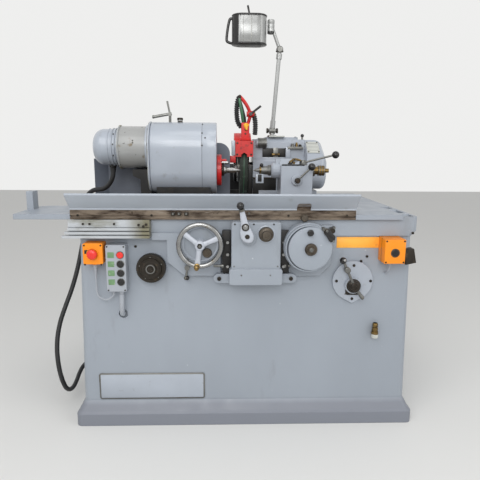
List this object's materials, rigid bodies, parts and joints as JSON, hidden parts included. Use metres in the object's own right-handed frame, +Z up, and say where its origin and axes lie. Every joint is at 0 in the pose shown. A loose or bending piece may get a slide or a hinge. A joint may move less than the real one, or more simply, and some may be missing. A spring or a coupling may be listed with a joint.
{
  "type": "cylindrical grinding machine",
  "caption": "Floor-standing cylindrical grinder: hollow base, sliding swivel table with workhead and tailstock, wheelhead behind, hand controls in front and a jointed lamp",
  "frame": {"origin": "on the floor under the middle of the base, on the foot of its centre rib", "axes": "+X to the operator's right along the table, +Y away from the operator, +Z up"},
  "size_m": [1.8163, 1.297, 2.025],
  "materials": {
    "paint": "smooth machine enamel, blue-grey",
    "dark_paint": "machine enamel in shade, worn",
    "iron": "ground ways, oily and browned",
    "steel": "bright turned steel",
    "aluminium": "satin aluminium",
    "dark_knob": "dark brown knurled knob",
    "black_plastic": "black ball knobs and buttons",
    "rubber": "black hose",
    "red_paint": "red enamel",
    "red_plastic": "red button plastic",
    "amber_plastic": "amber box",
    "grey_plastic": "light grey box",
    "abrasive": "grey-green abrasive",
    "brass": "darkened brass"
  },
  "bodies": {
    "root": {"base_casting": "paint", "apron_plate": "paint", "trip_rail": "steel", "wheelhead_bed": "iron", "gearbox_housing": "paint", "infeed_ring": "paint", "selector_flange": "paint", "oil_valve": "brass", "estop_box": "amber_plastic", "button_station": "grey_plastic", "right_control_box": "amber_plastic", "estop_cable": "grey_plastic", "station_conduit": "grey_plastic"},
    "table": {"lower_table": "iron", "left_way_cover": "paint", "right_way_cover": "paint", "motor_cable": "rubber"},
    "swivel_knob": {"swivel_knob": "dark_knob"},
    "upper_table": {"upper_table": "iron", "swarf_guard": "paint", "splash_sheet": "dark_paint"},
    "workhead": {"workhead_base": "iron", "workhead_housing": "paint", "workhead_front_cover": "paint", "workhead_motor": "paint", "motor_fan_cowl": "paint"},
    "work_spindle": {"workhead_spindle": "steel", "driver_plate": "red_paint"},
    "workhead_crank": {"workhead_crank": "steel"},
    "tailstock": {"tailstock_body": "paint", "tailstock_rear_screw": "brass"},
    "quill": {"tailstock_quill": "steel"},
    "quill_lever": {"tailstock_quill_lever": "steel"},
    "tail_clamp": {"tailstock_clamp_lever": "steel"},
    "wheelhead": {"wheelhead_housing": "paint", "belt_guard": "paint", "wheelhead_motor": "dark_paint", "wheel_guard": "red_paint", "coolant_pipe": "red_paint"},
    "wheel": {"grinding_wheel": "abrasive", "wheel_spindle": "steel"},
    "valve_lever": {"coolant_valve_lever": "black_plastic"},
    "lamp_base": {"lamp_base": "aluminium"},
    "lamp_pole": {"lamp_pole": "aluminium"},
    "lamp_arm": {"lamp_arm": "aluminium"},
    "lamp_head": {"lamp_head": "aluminium"},
    "handwheel": {"table_handwheel": "steel"},
    "reversing_lever": {"reversing_lever": "paint"},
    "gearbox_knob": {"gearbox_knob": "dark_knob"},
    "feed_dial": {"feed_dial": "dark_knob"},
    "infeed_wheel": {"infeed_handwheel": "paint"},
    "index_lever": {"index_lever": "black_plastic"},
    "selector_lever": {"selector_lever": "steel"},
    "speed_lever": {"speed_lever": "steel"},
    "button_1": {"button_1": "red_plastic"},
    "button_2": {"button_2": "black_plastic"},
    "button_3": {"button_3": "black_plastic"},
    "button_4": {"button_4": "black_plastic"},
    "mushroom": {"estop_mushroom": "red_plastic"},
    "right_button": {"right_button": "black_plastic"}
  },
  "joints": [
    {"name": "table_slide", "type": "slide", "parent": "root", "child": "table", "axis": [1, 0, 0], "range_m": [0, 0.32], "deforming": ["motor_cable"]},
    {"name": "handwheel_turn", "type": "hinge", "parent": "root", "child": "handwheel", "pos_m": [-0.207, -0.6163, 0.884], "axis": [0, 1, 0], "range_deg": [-10, 4700]},
    {"name": "upper_table_swivel", "type": "hinge", "parent": "table", "child": "upper_table", "pos_m": [-0.1465, -0.395, 1.0136], "axis": [0, 0, -1], "range_deg": [-1.5, 6], "deforming": ["motor_cable"]},
    {"name": "swivel_knob_turn", "type": "hinge", "parent": "table", "child": "swivel_knob", "pos_m": [0.247, -0.5753, 0.9972], "axis": [0, 1, 0], "range_deg": [-50, 190]},
    {"name": "workhead_swivel", "type": "hinge", "parent": "upper_table", "child": "workhead", "pos_m": [-0.291, -0.33, 1.0439], "axis": [0, 0, 1], "range_deg": [-3, 10], "deforming": ["motor_cable"]},
    {"name": "work_spindle_turn", "type": "hinge", "parent": "workhead", "child": "work_spindle", "pos_m": [-0.291, -0.33, 1.19], "axis": [1, 0, 0], "continuous": true},
    {"name": "workhead_crank_turn", "type": "hinge", "parent": "workhead", "child": "workhead_crank", "pos_m": [-0.358, -0.33, 1.412], "axis": [0, 0, 1], "range_deg": [-60, 60]},
    {"name": "tailstock_slide", "type": "slide", "parent": "upper_table", "child": "tailstock", "axis": [1, 0, 0], "range_m": [-0.05, 0.15]},
    {"name": "quill_slide", "type": "slide", "parent": "tailstock", "child": "quill", "axis": [1, 0, 0], "range_m": [0, 0.02], "stiffness_N_per_m": 600},
    {"name": "quill_lever_turn", "type": "hinge", "parent": "tailstock", "child": "quill_lever", "pos_m": [0.237, -0.4193, 1.148], "axis": [0, 1, 0], "range_deg": [-2, 64]},
    {"name": "tail_clamp_turn", "type": "hinge", "parent": "tailstock", "child": "tail_clamp", "pos_m": [0.276, -0.33, 1.216], "axis": [0, 0, 1], "range_deg": [-40, 30]},
    {"name": "wheelhead_infeed", "type": "slide", "parent": "root", "child": "wheelhead", "axis": [0, 1, 0], "range_m": [-0.095, 0.1]},
    {"name": "infeed_wheel_turn", "type": "hinge", "parent": "root", "child": "infeed_wheel", "pos_m": [0.267, -0.6383, 0.872], "axis": [0, 1, 0], "range_deg": [-3700, 3500]},
    {"name": "wheel_spin", "type": "hinge", "parent": "wheelhead", "child": "wheel", "pos_m": [0, 0.03, 1.19], "axis": [1, 0, 0], "continuous": true},
    {"name": "coolant_valve_turn", "type": "hinge", "parent": "wheelhead", "child": "valve_lever", "pos_m": [0.032, -0.1173, 1.467], "axis": [0, 1, 0], "range_deg": [-45, 0]},
    {"name": "lamp_turn", "type": "hinge", "parent": "wheelhead", "child": "lamp_base", "pos_m": [0.156, 0, 1.3543], "axis": [0, 0, 1], "range_deg": [-90, 90]},
    {"name": "lamp_pole_tilt", "type": "hinge", "parent": "lamp_base", "child": "lamp_pole", "pos_m": [0.156, 0, 1.388], "axis": [1, 0, 0], "range_deg": [-20, 20]},
    {"name": "lamp_elbow_turn", "type": "hinge", "parent": "lamp_pole", "child": "lamp_arm", "pos_m": [0.188, 0, 1.805], "axis": [0, 1, 0], "range_deg": [-40, 60]},
    {"name": "lamp_head_tilt", "type": "hinge", "parent": "lamp_arm", "child": "lamp_head", "pos_m": [0.138, 0, 1.933], "axis": [1, 0, 0], "range_deg": [-60, 60]},
    {"name": "reversing_lever_turn", "type": "hinge", "parent": "root", "child": "reversing_lever", "pos_m": [0.003, -0.648, 0.915], "axis": [0, 1, 0], "range_deg": [-20, 20]},
    {"name": "gearbox_knob_turn", "type": "hinge", "parent": "root", "child": "gearbox_knob", "pos_m": [0.077, -0.64, 0.932], "axis": [0, 1, 0], "range_deg": [-135, 135]},
    {"name": "feed_dial_turn", "type": "hinge", "parent": "root", "child": "feed_dial", "pos_m": [-0.427, -0.568, 0.769], "axis": [0, 1, 0], "range_deg": [-150, 150]},
    {"name": "index_lever_turn", "type": "hinge", "parent": "root", "child": "index_lever", "pos_m": [0.356, -0.6383, 0.953], "axis": [0, 1, 0], "range_deg": [-60, 0]},
    {"name": "selector_lever_turn", "type": "hinge", "parent": "root", "child": "selector_lever", "pos_m": [0.484, -0.5803, 0.684], "axis": [0, 1, 0], "range_deg": [-60, 30]},
    {"name": "speed_lever_turn", "type": "hinge", "parent": "root", "child": "speed_lever", "pos_m": [-0.268, -0.5723, 0.769], "axis": [0, 1, 0], "range_deg": [-45, 45]},
    {"name": "button_1_press", "type": "slide", "parent": "root", "child": "button_1", "axis": [0, 1, 0], "range_m": [0, 0.004], "stiffness_N_per_m": 300, "springref_m": -0.001},
    {"name": "button_2_press", "type": "slide", "parent": "root", "child": "button_2", "axis": [0, 1, 0], "range_m": [0, 0.004], "stiffness_N_per_m": 300, "springref_m": -0.001},
    {"name": "button_3_press", "type": "slide", "parent": "root", "child": "button_3", "axis": [0, 1, 0], "range_m": [0, 0.004], "stiffness_N_per_m": 300, "springref_m": -0.001},
    {"name": "button_4_press", "type": "slide", "parent": "root", "child": "button_4", "axis": [0, 1, 0], "range_m": [0, 0.004], "stiffness_N_per_m": 300, "springref_m": -0.001},
    {"name": "mushroom_press", "type": "slide", "parent": "root", "child": "mushroom", "axis": [0, 1, 0], "range_m": [0, 0.006]},
    {"name": "right_button_press", "type": "slide", "parent": "root", "child": "right_button", "axis": [0, 1, 0], "range_m": [0, 0.004], "stiffness_N_per_m": 300, "springref_m": -0.001}
  ],
  "couplings": [
    {"joint": "handwheel_turn", "follows": "table_slide", "rad_per_m": 251.33},
    {"joint": "swivel_knob_turn", "follows": "upper_table_swivel", "ratio": 30},
    {"joint": "quill_lever_turn", "follows": "quill_slide", "rad_per_m": 52.36},
    {"joint": "infeed_wheel_turn", "follows": "wheelhead_infeed", "rad_per_m": -628.32}
  ]
}
